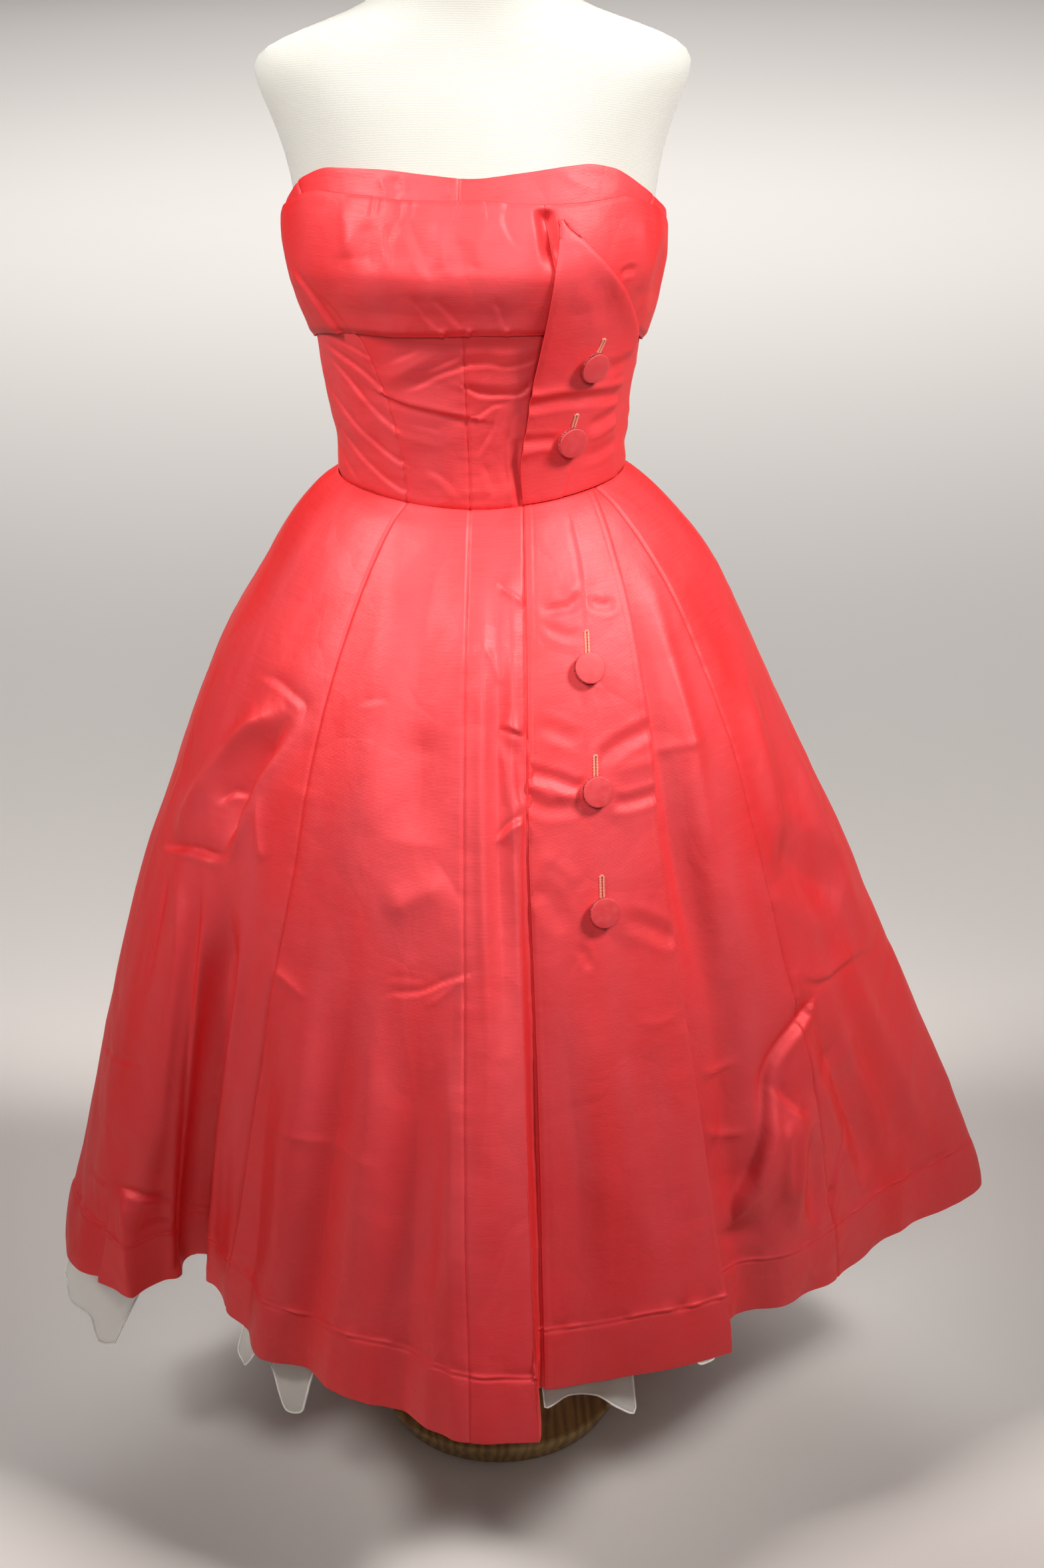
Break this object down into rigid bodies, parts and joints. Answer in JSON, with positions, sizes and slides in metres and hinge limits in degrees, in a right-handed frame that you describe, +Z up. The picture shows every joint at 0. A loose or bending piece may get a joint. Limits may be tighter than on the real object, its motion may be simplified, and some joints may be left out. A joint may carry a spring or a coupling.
{
  "type": "strapless cocktail dress on a limbless dress form",
  "caption": "Strapless fitted dress with a turned-back bust cuff, a side-front buttoned tab and placket and a full gored skirt, worn by a limbless form on a round stand.",
  "frame": {"origin": "middle of the stand's flat underside", "axes": "+Z up along the pole, -Y towards the front of the dress, +X towards the wearer's left"},
  "size_m": [0.8584, 0.7258, 1.39],
  "materials": {
    "taffeta": "coral red ribbed silk taffeta with a soft sheen",
    "button": "flat covered button, duller pinkish red",
    "organza": "ivory sheer organza with a rolled edge",
    "jersey": "smooth cream jersey stretched over the form",
    "wood": "satin varnished ochre wood",
    "pole": "plain satin steel tube"
  },
  "bodies": {
    "root": {"bodice_back_left": "taffeta", "bodice_back_right": "taffeta", "bodice_front_centre": "taffeta", "bodice_front_right": "taffeta", "bodice_front_side_left": "taffeta", "bodice_front_side_right": "taffeta", "bust_cuff_back_left": "taffeta", "bust_cuff_back_right": "taffeta", "bust_cuff_left": "taffeta", "bust_cuff_right": "taffeta", "button_1": "button", "button_2": "button", "button_3": "button", "button_4": "button", "button_5": "button", "button_placket": "taffeta", "button_tab": "taffeta", "form_torso": "jersey", "skirt_back_left": "taffeta", "skirt_back_right": "taffeta", "skirt_back_side_left": "taffeta", "skirt_back_side_right": "taffeta", "skirt_front_centre": "taffeta", "skirt_front_left": "taffeta", "skirt_front_right": "taffeta", "skirt_front_side_left": "taffeta", "skirt_front_side_right": "taffeta", "stand_base": "wood", "stand_pole": "pole", "underskirt_back": "organza", "underskirt_front": "organza"}
  },
  "joints": []
}
